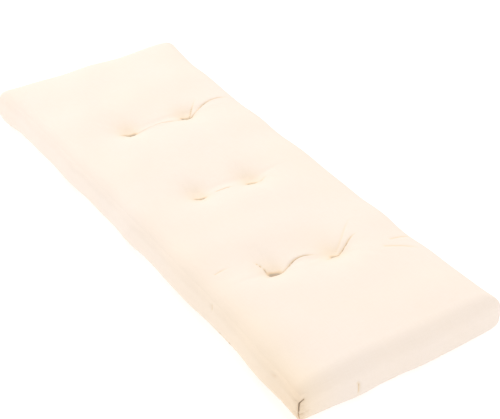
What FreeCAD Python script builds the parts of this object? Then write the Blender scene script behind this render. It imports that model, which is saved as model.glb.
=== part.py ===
"""Tufted futon mattress, 36 x 14 x 3 in, as a FreeCAD parametric document.

Frame: +X along the length, +Y across the width, +Z up. The origin is the centre of the underside.

The casing is two cotton panels. The top panel also makes the sides, with a boxed seam up each corner,
and the under panel is sewn to it round the lower edge, with the allowances turned up inside. Inside
lie three batts, a foam core with a batting edge roll, and three more batts. Six twine tufts pull the
two panels together, each knotted under a felt washer in the underside. At -X the lower edge was left
open for filling and is stitched by hand.
"""
import FreeCAD, Part
import Sketcher
import os

# Driving dimensions in millimetres, except the stitch count. Each becomes a named cell.
DIMENSIONS = {
    "length": 914.4,  # 36 in
    "width": 355.6,  # 14 in
    "height": 76.2,  # 3 in
    "cloth": 1.0,  # heavy cotton twill
    "edge_round": 28.0,  # every outer edge and corner of the stuffed casing
    "allowance": 10.0,  # cloth turned up inside at the lower seam
    "core_thick": 25.4,  # 1 in foam
    "core_inset": 14.0,  # from the outside of the casing to the foam
    "block_round": 14.0,  # upright corners of the foam
    "row_pitch": 228.6,  # tuft rows, a quarter of the length apart
    "column_gap": 101.6,  # between the two tuft columns
    "pit_mouth": 22.0,  # radius of a tuft's pit at the surface
    "pit_floor": 9.5,  # radius of a pit's floor
    "top_pit": 18.0,  # depth of a pit in the top
    "under_pit": 12.0,  # depth of a pit in the underside
    "core_top_dent": 4.0,  # how far a tuft presses into the foam from above
    "core_under_dent": 3.0,  # and from below
    "bite": 10.0,  # between the two legs of one twine loop
    "twine": 1.6,  # diameter of waxed tufting twine
    "needle": 2.2,  # hole that the needle leaves
    "washer_width": 18.0,
    "washer_thick": 2.0,
    "washer_round": 0.5,
    "thread": 0.8,  # diameter of the sewing thread
    "thread_depth": 0.4,  # batting between a corner seam's thread and the cloth
    "stitch_rise": 2.0,  # the lower seam's stitching above its fold
    "closing_length": 240.0,  # hand-closed opening in the end at -X
    "closing_pitch": 8.0,
    "closing_height": 5.0,
    "closing_slant": 3.0,
    "corner_sweep": 55.0,  # degrees of the upper edge's round that a corner seam climbs
    "corner_drop": 18.0,  # degrees of the lower edge's round that it comes down
}

# Each tuft's row and column, and how far it lies from its place on the centred grid, in mm. All lie a
# little nearer the +X end, and each strays on its own.
TUFTS = [
    {"name": "far_left", "row": -1, "column": -1, "along": 13.0, "across": 2.0},
    {"name": "far_right", "row": -1, "column": 1, "along": 23.0, "across": 8.0},
    {"name": "middle_left", "row": 0, "column": -1, "along": 6.0, "across": 2.0},
    {"name": "middle_right", "row": 0, "column": 1, "along": 14.0, "across": -8.0},
    {"name": "near_left", "row": 1, "column": -1, "along": 2.0, "across": -9.0},
    {"name": "near_right", "row": 1, "column": 1, "along": 14.0, "across": -5.0},
]
CORNERS = [("near_left", 1, -1), ("near_right", 1, 1), ("far_right", -1, 1), ("far_left", -1, -1)]
BATTS_A_SIDE = 3

doc = FreeCAD.newDocument("FutonMattress")
sheet = doc.addObject("Spreadsheet::Sheet", "Dimensions")
parts = []


def fill_sheet():
    """Puts every driving dimension and each tuft's stray into a named cell."""
    rows = dict(DIMENSIONS)
    for tuft in TUFTS:
        rows["along_" + tuft["name"]] = tuft["along"]
        rows["across_" + tuft["name"]] = tuft["across"]
    for number, (name, value) in enumerate(rows.items(), start=1):
        sheet.set(f"A{number}", name)
        sheet.set(f"B{number}", str(value))
        sheet.setAlias(f"B{number}", name)
    doc.recompute()


def cell(name):
    """A cell's number, for the few shapes that can't carry an expression."""
    return float(sheet.get(name))


def bind(thing, **sizes):
    """Binds properties to expressions. place_x, place_y and place_z stand for the Placement."""
    for name, expression in sizes.items():
        if name.startswith("place_"):
            name = ".Placement.Base." + name[-1]
        thing.setExpression(name, expression)
    return thing


def D(name):
    """A cell's name as an expression."""
    return "Dimensions." + name


MIDDLE = f"({D('height')} / 2)"
SEAM = f"({D('edge_round')} * (1 - sqrt(0.5)))"  # where the lower edge's round faces half down
FOLD = f"({SEAM} - {D('cloth')})"  # the under panel's fold, just below the seam
SEAM_DEPTH = f"(3 * {D('cloth')} + 2 * {D('thread_depth')} + {D('thread')})"  # of cloth and stitching
CORE_LOW = f"({MIDDLE} - {D('core_thick')} / 2)"
CORE_HIGH = f"({MIDDLE} + {D('core_thick')} / 2)"
INSIDE_TOP = f"({D('height')} - {D('cloth')})"


def tuft_x(tuft):
    return f"{tuft['row']} * {D('row_pitch')} + {D('along_' + tuft['name'])}"


def tuft_y(tuft):
    return f"{tuft['column']} * {D('column_gap')} / 2 + {D('across_' + tuft['name'])}"


def rectangle(sketch, across_x, across_y):
    """A rectangle about the origin whose two sides are expressions."""
    corners = [FreeCAD.Vector(x, y, 0) for x, y in ((-9, -9), (9, -9), (9, 9), (-9, 9))]
    for i in range(4):
        sketch.addGeometry(Part.LineSegment(corners[i], corners[(i + 1) % 4]), False)
    add = sketch.addConstraint
    constraint = Sketcher.Constraint
    for i in range(4):
        add(constraint("Coincident", i, 2, (i + 1) % 4, 1))
        add(constraint("Vertical" if i % 2 else "Horizontal", i))
    add(constraint("Symmetric", 0, 1, 1, 2, -1, 1))
    wide = add(constraint("DistanceX", 0, 1, 0, 2, 18))
    deep = add(constraint("DistanceY", 1, 1, 1, 2, 18))
    sketch.setExpression(f"Constraints[{wide}]", across_x)
    sketch.setExpression(f"Constraints[{deep}]", across_y)


def pad_body(name, inset, low, high):
    """A body whose one pad is the mattress's outline, inset all round, from low to high."""
    body = doc.addObject("PartDesign::Body", name)
    sketch = body.newObject("Sketcher::SketchObject", name + "_outline")
    plane = next(f for f in body.Origin.OriginFeatures if f.Role == "XY_Plane")
    sketch.AttachmentSupport = (plane, [""])
    sketch.MapMode = "FlatFace"
    rectangle(sketch, f"{D('length')} - 2 * {inset}", f"{D('width')} - 2 * {inset}")
    pad = body.newObject("PartDesign::Pad", name + "_pad")
    pad.Profile = sketch
    bind(pad, Length=f"{high} - {low}")
    bind(body, place_z=low)
    doc.recompute()
    return body, pad


def rounded(body, pad, radius, upright_only=False):
    """Rounds a body's pad: every edge, or only the four upright ones."""
    fillet = body.newObject("PartDesign::Fillet", body.Name + "_round")
    edges = pad.Shape.Edges
    upright = [i for i, e in enumerate(edges, 1) if abs(e.tangentAt(e.FirstParameter).z) > 0.9]
    chosen = upright if upright_only else range(1, len(edges) + 1)
    fillet.Base = (pad, [f"Edge{i}" for i in chosen])
    bind(fillet, Radius=radius)
    doc.recompute()
    return body


def envelope(name, inset):
    """The whole stuffed shape, inset all round."""
    body, pad = pad_body(name, inset, inset, f"({D('height')} - {inset})")
    return rounded(body, pad, f"{D('edge_round')} - {inset}")


def block(name, inset, low, high):
    """An upright slab of the mattress's outline, inset, with rounded upright corners."""
    body, pad = pad_body(name, inset, low, high)
    return rounded(body, pad, D("block_round"), upright_only=True)


def slab(name, low, high):
    """A box wider than the mattress, for cutting it at two levels."""
    box = doc.addObject("Part::Box", name)
    return bind(
        box,
        Length=f"2 * {D('length')}",
        Width=f"2 * {D('width')}",
        Height=f"{high} - {low}",
        place_x=f"-{D('length')}",
        place_y=f"-{D('width')}",
        place_z=low,
    )


def cut(name, base, tool):
    made = doc.addObject("Part::Cut", name)
    made.Base, made.Tool = base, tool
    return made


def common(name, base, tool):
    made = doc.addObject("Part::Common", name)
    made.Base, made.Tool = base, tool
    return made


def fuse(name, *shapes):
    made = doc.addObject("Part::MultiFuse", name)
    made.Shapes = list(shapes)
    return made


def part(name, thing):
    """Names a finished sub-part, which is written under its Label."""
    thing.Label = name
    parts.append(thing)
    return thing


def dents(name, level, depth, grow="0", upward=False):
    """The six cones that the tufts press into a layer: down from level, or up from it."""
    cones = []
    for tuft in TUFTS:
        cone = doc.addObject("Part::Cone", f"{name}_{tuft['name']}")
        floor, mouth = f"{D('pit_floor')} + {grow}", f"{D('pit_mouth')} + {grow}"
        bind(
            cone,
            Radius1=mouth if upward else floor,
            Radius2=floor if upward else mouth,
            Height=depth,
            place_x=tuft_x(tuft),
            place_y=tuft_y(tuft),
            place_z=level if upward else f"{level} - {depth}",
        )
        cones.append(cone)
    return fuse(name, *cones)


def needle_holes():
    """Two upright holes for each tuft, right through the mattress."""
    holes = []
    for tuft in TUFTS:
        for side in (-1, 1):
            hole = doc.addObject("Part::Cylinder", f"hole_{tuft['name']}_{side + 1}")
            bind(
                hole,
                Radius=D("needle") + " / 2",
                Height=D("height"),
                place_x=tuft_x(tuft),
                place_y=f"{tuft_y(tuft)} + {side} * {D('bite')} / 2",
            )
            holes.append(hole)
    return fuse("needle_holes", *holes)


def corner_threads():
    """The stitching of the four boxed-corner seams, inside the cloth: an arc, an upright run, an arc."""
    threads = []
    reach = f"({D('edge_round')} - {D('cloth')} - {D('thread_depth')} - {D('thread')} / 2)"
    upper, lower = f"({D('height')} - {D('edge_round')})", D("edge_round")
    ends = (("top", 1, upper, "corner_sweep"), ("foot", -1, lower, "corner_drop"))
    for name, sx, sy in CORNERS:
        heading = FreeCAD.Vector(sx, sy, 0).normalize()
        centre_x = f"{sx} * ({D('length')} / 2 - {D('edge_round')})"
        centre_y = f"{sy} * ({D('width')} / 2 - {D('edge_round')})"
        arcs = []
        for end, sign, level, turn in ends:
            arc = doc.addObject("Part::Torus", f"{name}_{end}_arc")
            bind(arc, Radius1=reach, Radius2=D("thread") + " / 2", Angle3=D(turn))
            bind(arc, place_x=centre_x, place_y=centre_y, place_z=level)
            up = FreeCAD.Vector(0, 0, sign)
            arc.Placement.Rotation = FreeCAD.Rotation(heading, up, heading.cross(up), "XYZ")
            arcs.append(arc)
        run = doc.addObject("Part::Cylinder", f"{name}_run")
        bind(
            run,
            Radius=D("thread") + " / 2",
            Height=f"{upper} - {lower}",
            place_x=f"{centre_x} + {sx} * {reach} / sqrt(2)",
            place_y=f"{centre_y} + {sy} * {reach} / sqrt(2)",
            place_z=lower,
        )
        threads.append(part(f"corner_thread_{name}", fuse(f"corner_seam_{name}", run, *arcs)))
    return threads


def round_inset(z, inset=0.0):
    """How far in from the outline the lower edge's round is at height z, for a shell that far inside."""
    edge = cell("edge_round")
    turn = edge - inset
    return edge - (turn**2 - (edge - z) ** 2) ** 0.5


def stitch_end(z, y):
    """A point on the rounded lower edge at -X."""
    return FreeCAD.Vector(round_inset(z) - cell("length") / 2, y, z)


def closing_stitches():
    """A row of short slanting hand stitches across the lower seam at -X, half sunk in the cloth."""
    radius, rise, slant = cell("thread") / 2, cell("closing_height") / 2, cell("closing_slant") / 2
    seam, pitch = seam_level(), cell("closing_pitch")
    count = int(cell("closing_length") / pitch)
    stitches = []
    for i in range(count):
        y = (i - (count - 1) / 2) * pitch
        low, high = (stitch_end(seam + sign * rise, y + sign * slant) for sign in (-1, 1))
        bar = Part.makeCylinder(radius, (high - low).Length, low, high - low)
        ends = [Part.makeSphere(radius, low), Part.makeSphere(radius, high)]
        stitches.append(bar.fuse(ends).removeSplitter())
    made = doc.addObject("Part::Feature", "closing_stitches")
    made.Shape = Part.makeCompound(stitches)
    return part("closing_stitches", made)


def seam_level():
    return cell("edge_round") * (1 - 0.5**0.5)


def sweep(path, start, heading, radius):
    """A solid round thread along a path."""
    circle = Part.Wire([Part.Circle(start, heading, radius).toShape()])
    return path.makePipeShell([circle], True, False)


def seam_thread():
    """The machine stitching round the lower seam, open where the end was closed by hand."""
    radius = cell("thread") / 2
    z = seam_level() + cell("stitch_rise")
    inset = round_inset(z, 3 * cell("cloth") + cell("thread_depth") + radius)
    turn = cell("edge_round") - inset
    x, y = cell("length") / 2 - inset, cell("width") / 2 - inset
    gap = cell("closing_length") / 2
    edges, here = [], FreeCAD.Vector(-x, gap, z)
    for sx, sy in ((-1, 1), (1, 1), (1, -1), (-1, -1)):
        along_y = sx * sy < 0
        before = FreeCAD.Vector(sx * x, sy * (y - turn), z)
        after = FreeCAD.Vector(sx * (x - turn), sy * y, z)
        if not along_y:
            before, after = after, before
        half = turn * (1 - 0.5**0.5)
        middle = FreeCAD.Vector(sx * (x - half), sy * (y - half), z)
        edges.append(Part.LineSegment(here, before).toShape())
        edges.append(Part.Arc(before, middle, after).toShape())
        here = after
    edges.append(Part.LineSegment(here, FreeCAD.Vector(-x, -gap, z)).toShape())
    made = doc.addObject("Part::Feature", "lower_seam_thread")
    start = FreeCAD.Vector(-x, gap, z)
    made.Shape = sweep(Part.Wire(edges), start, FreeCAD.Vector(0, 1, 0), radius)
    return part("lower_seam_thread", made)


def twine_shape():
    """One loop of twine with its knot and two trimmed tails, about a tuft's own centre line."""
    radius, half, turn = cell("twine") / 2, cell("bite") / 2, cell("twine") * 0.95
    high = cell("height") - cell("top_pit") + radius
    low = cell("under_pit") - cell("washer_thick") - cell("twine")
    v = FreeCAD.Vector
    corners = [(half, low), (half, high), (-half, high), (-half, low)]
    edges = []
    here = v(0, 0, low)
    inward = turn * (1 - 0.5**0.5)
    for i, (y, z) in enumerate(corners):
        sy = 1 if y > 0 else -1
        sz = 1 if z == high else -1
        flat = v(0, y - sy * turn, z)
        upright = v(0, y, z - sz * turn)
        before, after = (flat, upright) if i % 2 == 0 else (upright, flat)
        middle = v(0, y - sy * inward, z - sz * inward)
        edges.append(Part.LineSegment(here, before).toShape())
        edges.append(Part.Arc(before, middle, after).toShape())
        here = after
    edges.append(Part.LineSegment(here, v(0, 0, low)).toShape())
    loop = sweep(Part.Wire(edges), v(0, 0, low), v(0, 1, 0), radius)
    knot = []
    wrap = 0.9 * radius
    for side in (-1, 1):
        centre = v(0, side * 1.1 * wrap, low - radius)
        knot.append(Part.makeTorus(2 * wrap, wrap, centre, v(0, 1, 0.35 * side)))
        tail = v(side * 7, side * 3, -1.5)
        knot.append(Part.makeCylinder(wrap, tail.Length, centre, tail))
    return loop.fuse(knot).removeSplitter()


def tuft_twines():
    shape = twine_shape()
    for tuft in TUFTS:
        made = doc.addObject("Part::Feature", "twine_" + tuft["name"])
        made.Shape = shape.copy()
        bind(made, place_x=tuft_x(tuft), place_y=tuft_y(tuft))
        part("tuft_twine_" + tuft["name"], made)


def tuft_washers(holes):
    """A felt disc under each tuft, against the cloth of the underside."""
    for tuft in TUFTS:
        disc = doc.addObject("Part::Cylinder", "disc_" + tuft["name"])
        bind(
            disc,
            Radius=D("washer_width") + " / 2",
            Height=D("washer_thick"),
            place_x=tuft_x(tuft),
            place_y=tuft_y(tuft),
            place_z=f"{D('under_pit')} - {D('washer_thick')}",
        )
        doc.recompute()
        rim = doc.addObject("Part::Fillet", "rim_" + tuft["name"])
        rim.Base = disc
        size = cell("washer_round")
        circles = [i for i, e in enumerate(disc.Shape.Edges, 1) if e.Closed]
        rim.Edges = [(i, size, size) for i in circles]
        part("tuft_washer_" + tuft["name"], cut("washer_" + tuft["name"], rim, holes))


def lining(name, near, far):
    """A shell inside the casing, between two numbers of cloth thicknesses from its outside."""
    outside = envelope(name + "_outside", f"({near} * {D('cloth')})")
    return cut(name, outside, envelope(name + "_inside", f"({far} * {D('cloth')})"))


def casing(holes, stitches):
    """The top and bottom panels, and the hollow inside them with the tufts pressed in."""
    outer = envelope("outer", "0")
    inner = envelope("inner", D("cloth"))
    share = f"{D('cloth')} / 2"
    top_dents = dents("top_dents", D("height"), D("top_pit"))
    inner_top_dents = dents("inner_top_dents", INSIDE_TOP, D("top_pit"), share)
    under_dents = dents("under_dents", "0", D("under_pit"), upward=True)
    inner_under_dents = dents("inner_under_dents", D("cloth"), D("under_pit"), share, upward=True)
    skin = cut("skin_top", outer, top_dents)
    skin = cut("skin", skin, under_dents)
    hollow = cut("hollow_top", inner, inner_top_dents)
    hollow = cut("hollow", hollow, inner_under_dents)
    shell = cut("shell", skin, hollow)
    pits = block("under_pits", D("edge_round"), "0", f"({D('under_pit')} + 2 * {D('cloth')})")
    below = fuse("below", slab("below_seam", "0", SEAM), pits)
    turned, fold = slab("turned", SEAM, f"({SEAM} + {D('allowance')})"), slab("fold", FOLD, SEAM)
    hem = common("hem", lining("hem_lining", 1, 2), turned)
    lip = common("lip", lining("lip_lining", 2, 3), turned)
    ledge = common("ledge", lining("ledge_lining", 1, 3), fold)
    top = fuse("top_sewn", cut("top_shell", shell, below), hem)
    under = fuse("under_sewn", common("under_shell", shell, below), ledge, lip)
    for name, half in (("top_panel", top), ("under_panel", under)):
        pierced = cut(name + "_pierced", half, holes)
        part(name, cut(name, pierced, stitches))
    return hollow


def batts(side, start, end, depth, core_depth, upward, hollow, pocket, tools):
    """The batts on one side of the core, counted from the casing, and the dents that reach the core."""
    levels, pressed = [], []
    for k in range(BATTS_A_SIDE + 1):
        levels.append(f"({start} + ({end} - {start}) * {k} / {BATTS_A_SIDE})")
        share = f"({depth} + ({core_depth} - {depth}) * {k} / {BATTS_A_SIDE})"
        pressed.append(dents(f"{side}_dents_{k}", levels[k], share, upward=upward) if k else None)
    for k in range(BATTS_A_SIDE):
        near, far = levels[k], levels[k + 1]
        low, high = (near, far) if upward else (far, near)
        cake = common(f"{side}_cake_{k}", hollow, slab(f"{side}_slab_{k}", low, high))
        bulge = common(f"{side}_bulge_{k}", hollow, pressed[k + 1])
        cake = fuse(f"{side}_cake_{k}_bulged", cake, bulge)
        if pressed[k]:
            cake = cut(f"{side}_cake_{k}_dented", cake, pressed[k])
        if pocket:
            cake = cut(f"{side}_cake_{k}_open", cake, pocket)
        part(f"{side}_batt_{k + 1}", cut(f"{side}_batt_{k}", cake, tools))
    return pressed[-1]


def filling(hollow, holes, threads):
    """Foam core, its edge roll and the batts, each pressed thin where the tufts pull."""
    tools = fuse("holes_and_threads", holes, *threads)
    outside, inside = envelope("pocket_outside", D("cloth")), envelope("pocket_inside", SEAM_DEPTH)
    level = slab("pocket_slab", FOLD, f"({SEAM} + {D('allowance')})")
    pocket = common("seam_pocket", cut("pocket_wall", outside, inside), level)
    upper = INSIDE_TOP, CORE_HIGH, D("top_pit"), D("core_top_dent"), False
    lower = D("cloth"), CORE_LOW, D("under_pit"), D("core_under_dent"), True
    above = batts("upper", *upper, hollow, None, tools)
    below = batts("lower", *lower, hollow, pocket, tools)
    core_block = block("core_block", D("core_inset"), CORE_LOW, CORE_HIGH)
    core = cut("core_dented", cut("core_dented_above", core_block, above), below)
    part("foam_core", cut("foam_core", core, tools))
    band = common("edge_band", hollow, slab("edge_slab", CORE_LOW, CORE_HIGH))
    roll = cut("edge_roll_open", band, core_block)
    part("edge_roll", cut("edge_roll", roll, tools))


def check_and_write():
    """Stops if anything failed to build, then writes one STEP file for each sub-part."""
    doc.recompute()
    for thing in doc.Objects:
        if {"Invalid", "Error"} & set(thing.State):
            raise SystemExit(f"{thing.Label} is {thing.State}")
    os.makedirs("parts", exist_ok=True)
    for old in os.listdir("parts"):
        os.remove(os.path.join("parts", old))
    for thing in parts:
        shape = thing.Shape
        if shape.isNull() or not shape.isValid() or not shape.Solids:
            raise SystemExit(f"{thing.Label} has no valid shape")
        shape.exportStep(f"parts/{thing.Label}.step")
        box = shape.BoundBox
        size = f"{box.XLength:.1f} x {box.YLength:.1f} x {box.ZLength:.1f}"
        print(f"{thing.Label}: {len(shape.Solids)} solids, {shape.Volume / 1000:.2f} cm3, {size} mm")


fill_sheet()
holes = needle_holes()
threads = corner_threads()
stitches = closing_stitches()
hollow = casing(holes, stitches)
filling(hollow, holes, threads)
seam_thread()
tuft_twines()
tuft_washers(holes)
check_and_write()
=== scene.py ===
"""Tufted futon mattress: the cotton casing, its tufts and seams, and the filling inside it.

The casing is a fine grid wrapped round a rounded box, in metres. A cloth simulation on a coarser grid
gives its stuffed shape, and the pits, creases, seams and puckers are pressed into the fine grid.
"""
import math

import bpy
import numpy as np
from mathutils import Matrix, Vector


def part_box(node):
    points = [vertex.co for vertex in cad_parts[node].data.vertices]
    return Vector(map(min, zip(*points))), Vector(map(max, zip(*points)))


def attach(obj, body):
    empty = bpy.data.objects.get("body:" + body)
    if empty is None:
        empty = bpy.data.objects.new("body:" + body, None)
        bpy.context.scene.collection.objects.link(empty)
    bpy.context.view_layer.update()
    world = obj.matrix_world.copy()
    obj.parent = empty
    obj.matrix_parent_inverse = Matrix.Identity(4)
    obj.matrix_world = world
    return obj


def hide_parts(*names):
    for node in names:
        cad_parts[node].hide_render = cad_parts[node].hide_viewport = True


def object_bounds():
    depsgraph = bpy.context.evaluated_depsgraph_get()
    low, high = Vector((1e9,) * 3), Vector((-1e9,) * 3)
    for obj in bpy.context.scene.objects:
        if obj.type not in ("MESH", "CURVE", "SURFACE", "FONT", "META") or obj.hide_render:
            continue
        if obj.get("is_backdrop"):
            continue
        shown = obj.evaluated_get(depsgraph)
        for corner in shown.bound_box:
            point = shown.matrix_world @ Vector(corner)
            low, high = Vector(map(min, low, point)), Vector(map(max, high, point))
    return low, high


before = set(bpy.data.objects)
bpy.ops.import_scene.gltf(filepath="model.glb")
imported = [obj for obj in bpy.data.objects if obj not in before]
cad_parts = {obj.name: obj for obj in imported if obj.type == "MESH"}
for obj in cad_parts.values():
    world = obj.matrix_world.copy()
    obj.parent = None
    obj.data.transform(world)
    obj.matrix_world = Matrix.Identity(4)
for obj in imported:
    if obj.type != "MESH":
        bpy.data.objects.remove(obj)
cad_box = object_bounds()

MM = 0.001
SEED = 7

# ------------ sizes from the frame

PANELS = np.array([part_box("top_panel"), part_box("under_panel")])
LOW, HIGH = PANELS[:, 0].min(0), PANELS[:, 1].max(0)
LENGTH, WIDTH, HEIGHT = HIGH - LOW
EDGE = 28 * MM  # radius of the stuffed casing's edges and corners
CORNER_POWER = 8  # how square the boxed corners are in plan; 2 would be round
TOP_POWER = 5, 2.5  # and the same at the top, where the front and the back corner are rounder
CLOTH = 0.9 * MM  # its thickness
HEM = 10 * MM  # cloth turned up inside the lower seam
TURNED_UP = 2.2, 3.2  # how deep the two faces of the turned-up cloth lie, in thicknesses of cloth
SEAM_ANGLE = math.pi / 4  # the lower seam lies where the lower edge's round faces half down
CORNER_NAMES = {"near_left": (1, -1), "near_right": (1, 1), "far_right": (-1, 1), "far_left": (-1, -1)}
TUFT_NAMES = [f"{row}_{side}" for row in ("far", "middle", "near") for side in ("left", "right")]
TUFTS = {name: np.mean(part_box("tuft_washer_" + name), axis=0)[:2] for name in TUFT_NAMES}
TOP_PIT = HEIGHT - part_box("tuft_twine_far_left")[1][2]
UNDER_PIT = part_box("tuft_washer_far_left")[1][2]
CLOSING = np.array(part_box("closing_stitches"))


# ------------ the grid round the box

def even_lines(low, high, step):
    """Evenly spaced places, with an even number of gaps."""
    gaps = 2 * round((high - low) / step / 2)
    return np.linspace(low, high, gaps + 1)


def graded_lines(low, high, step, bands):
    """Places from low to high about `step` apart, and closer in each band (start, end, step)."""
    spots = np.linspace(low, high, 4000)
    gap = np.full_like(spots, step)
    for start, end, fine in bands:
        outside = np.maximum(0, np.maximum(start - spots, spots - end))
        gap = np.minimum(gap, fine + outside * 0.2)
    count = np.concatenate([[0], np.cumsum(np.diff(spots) / gap[1:])])
    gaps = 2 * round(count[-1] / 2)
    return np.interp(np.linspace(0, count[-1], gaps + 1), count, spots)


def sheet_quads(sheet):
    """The quads of a sheet of vertex numbers."""
    return np.stack([sheet[:-1, :-1], sheet[1:, :-1], sheet[1:, 1:], sheet[:-1, 1:]], -1).reshape(-1, 4)


def sheet_rim(sheet):
    """The vertex numbers round a sheet's edge, anticlockwise from above."""
    return np.concatenate([sheet[:-1, 0], sheet[-1, :-1], sheet[:0:-1, -1], sheet[0, :0:-1]])


class Grid:
    """Vertices and quads on the six faces of a box, from its lines along X, Y and Z."""

    def __init__(self, x, y, z):
        self.lines = (x, y, z)
        shape = (len(x), len(y), len(z))
        skin = np.zeros(shape, bool)
        skin[[0, -1]] = True
        skin[:, [0, -1]] = True
        skin[:, :, [0, -1]] = True
        self.index = np.full(shape, -1)
        self.index[skin] = np.arange(skin.sum())
        self.i, self.j, self.k = np.nonzero(skin)
        self.places = np.stack([x[self.i], y[self.j], z[self.k]], 1)
        self.top = self.k == shape[2] - 1
        self.under = self.k == 0

    def quads(self, top=True, under=True, step=1):
        """Quads of the top with the sides, and of the underside."""
        cut = self.index[::step, ::step, ::step]
        sheets = []
        if top:
            sheets = [(cut[0], True), (cut[-1], False), (cut[:, 0], False), (cut[:, -1], True)]
            sheets.append((cut[:, :, -1], False))
        if under:
            sheets.append((cut[:, :, 0], True))
        quads = []
        for sheet, flip in sheets:
            corners = sheet_quads(sheet)
            quads.append(corners[:, ::-1] if flip else corners)
        return np.concatenate(quads)

    def lowest_around(self, values, reach):
        """The lowest value within `reach` edges of each vertex."""
        full = self.index
        sheets = (full[0], full[-1], full[:, 0], full[:, -1], full[:, :, 0], full[:, :, -1])
        for _ in range(reach):
            lowest = values.copy()
            for sheet in sheets:
                for a, b in ((sheet[1:], sheet[:-1]), (sheet[:, 1:], sheet[:, :-1])):
                    lowest[a] = np.minimum(lowest[a], values[b])
                    lowest[b] = np.minimum(lowest[b], values[a])
            values = lowest
        return values

    def ring(self, k, step=1):
        """The vertices round the sides at one level."""
        return sheet_rim(self.index[::step, ::step, k])


def plan_size(out, power):
    """The size of a horizontal offset, measured so that equal sizes trace a squarish corner."""
    return (np.abs(out[..., 0]) ** power + np.abs(out[..., 1]) ** power) ** (1 / power)


def corner_power(places):
    """The boxed corners are square below their middle, and rounder above it."""
    share = np.clip((places[:, 2] - LOW[2]) / HEIGHT * 2 - 1, 0, 1) ** 0.5
    round_ones = places[:, 0] * places[:, 1] < 0
    return CORNER_POWER + (np.where(round_ones, TOP_POWER[1], TOP_POWER[0]) - CORNER_POWER) * share


def rounded(places, inset=0.0, edge=EDGE):
    """Moves places on the box's faces to the rounded box with its boxed corners."""
    low, high = LOW + inset, HIGH - inset
    inside = low + (places - LOW) / (HIGH - LOW) * (high - low)
    core = np.clip(inside, low + edge, high - edge)
    out = inside - core
    size = np.hypot(plan_size(out, corner_power(places)), out[:, 2])
    return core + edge * out / np.maximum(size, 1e-9)[:, None]


def heading_and_right(degrees):
    """A heading in plan, anticlockwise from +X, and the direction to its right."""
    turn = math.radians(degrees)
    return np.array([math.cos(turn), math.sin(turn), 0]), np.array([math.sin(turn), -math.cos(turn), 0])


def normals_of(points, quads):
    """Vertex normals of a quad mesh."""
    a, b, c, d = (points[quads[:, n]] for n in range(4))
    face = np.cross(c - a, d - b)
    normals = np.zeros_like(points)
    for n in range(4):
        np.add.at(normals, quads[:, n], face)
    return normals / np.maximum(np.linalg.norm(normals, axis=1, keepdims=True), 1e-12)


# ------------ the stuffed shape and its cloth simulation

SIM_STEP = 8 * MM
SIM_INSET = 2.5 * MM  # the casing starts this much inside and swells
SIM_FRAMES = 23
SIM_TIGHT = 14  # the frame by which the tufts are pulled tight
SIM_CAP = 24 * MM  # no point moves further than this
CROWN = 9 * MM  # the top's rise from its edges to its middle
PROUD = 2.5 * MM  # how far the middle stands over the CAD solid
EAR = 5 * MM  # how far the boxed corners stand up, but for the one nearest the front
SLUMP = 9 * MM  # how far the top sinks towards the corner nearest the front
WAIST = 8 * MM  # how far each long side is pulled in between its corners
BULGE = 4 * MM  # how far the near end's middle and the back corner are pushed out
LUMP_SIZE, LUMP_HEIGHT = 105 * MM, 1.4 * MM  # the unevenness of the filling
BATTING_HOLD = 0.4  # how firmly the filling holds each point of the cloth, against 1 at a tuft


def put(name, data):
    """A new object in the scene."""
    made = bpy.data.objects.new(name, data)
    bpy.context.scene.collection.objects.link(made)
    return made


def simulate(grid):
    """How far the cloth moves when the casing is stuffed and its tufts are pulled tight."""
    start = rounded(grid.places, SIM_INSET, EDGE - SIM_INSET)
    mesh = bpy.data.meshes.new("casing_rehearsal")
    mesh.from_pydata(start.tolist(), [], grid.quads().tolist())
    casing = put("casing_rehearsal", mesh)

    held = casing.vertex_groups.new(name="held")
    held.add(list(range(len(start))), BATTING_HOLD, "REPLACE")
    pulled = start.copy()
    for x, y in TUFTS.values():
        near = np.hypot(grid.places[:, 0] - x, grid.places[:, 1] - y) < SIM_STEP * 0.9
        for side, pull in ((grid.top, -TOP_PIT * 0.35), (grid.under, UNDER_PIT * 0.5)):
            tied = near & side
            held.add(np.nonzero(tied)[0].tolist(), 1.0, "REPLACE")
            pulled[tied, 2] += pull
    casing.shape_key_add(name="loose")
    tight = casing.shape_key_add(name="tight")
    tight.data.foreach_set("co", pulled.ravel())
    tight.value = 0
    tight.keyframe_insert("value", frame=1)
    tight.value = 1
    tight.keyframe_insert("value", frame=SIM_TIGHT)

    sewn = casing.vertex_groups.new(name="sewn")
    last_i, last_j = len(grid.lines[0]) - 1, len(grid.lines[1]) - 1
    upright = np.isin(grid.i, (0, last_i)) & np.isin(grid.j, (0, last_j))
    sewn.add(np.union1d(np.nonzero(upright)[0], grid.ring(0)).tolist(), 1.0, "REPLACE")

    cloth = casing.modifiers.new("cloth", "CLOTH")
    rules = cloth.settings
    rules.quality = 6
    rules.mass = 0.3
    rules.tension_stiffness = rules.compression_stiffness = 15
    rules.shear_stiffness = 5
    rules.bending_stiffness = 8
    rules.bending_damping = 0.5
    rules.air_damping = 2
    rules.vertex_group_mass = "held"
    rules.use_pressure = True
    rules.uniform_pressure_force = 0.5
    rules.vertex_group_shrink = "sewn"
    rules.shrink_min = -0.001  # the cloth is cut a little larger than the pad
    rules.shrink_max = 0.015  # and its seams draw up
    rules.effector_weights.gravity = 0
    cloth.collision_settings.use_collision = False
    scene = bpy.context.scene
    for number in range(1, SIM_FRAMES + 1):
        scene.frame_set(number)
    result = casing.evaluated_get(bpy.context.evaluated_depsgraph_get())
    moved = np.empty(len(start) * 3)
    result.data.vertices.foreach_get("co", moved)
    scene.frame_set(1)
    bpy.data.objects.remove(casing)
    bpy.data.meshes.remove(mesh)
    moved = moved.reshape(-1, 3) - rounded(grid.places)
    reach = np.linalg.norm(moved, axis=1, keepdims=True)
    return moved * np.minimum(1, SIM_CAP / np.maximum(reach, 1e-9))


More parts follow.
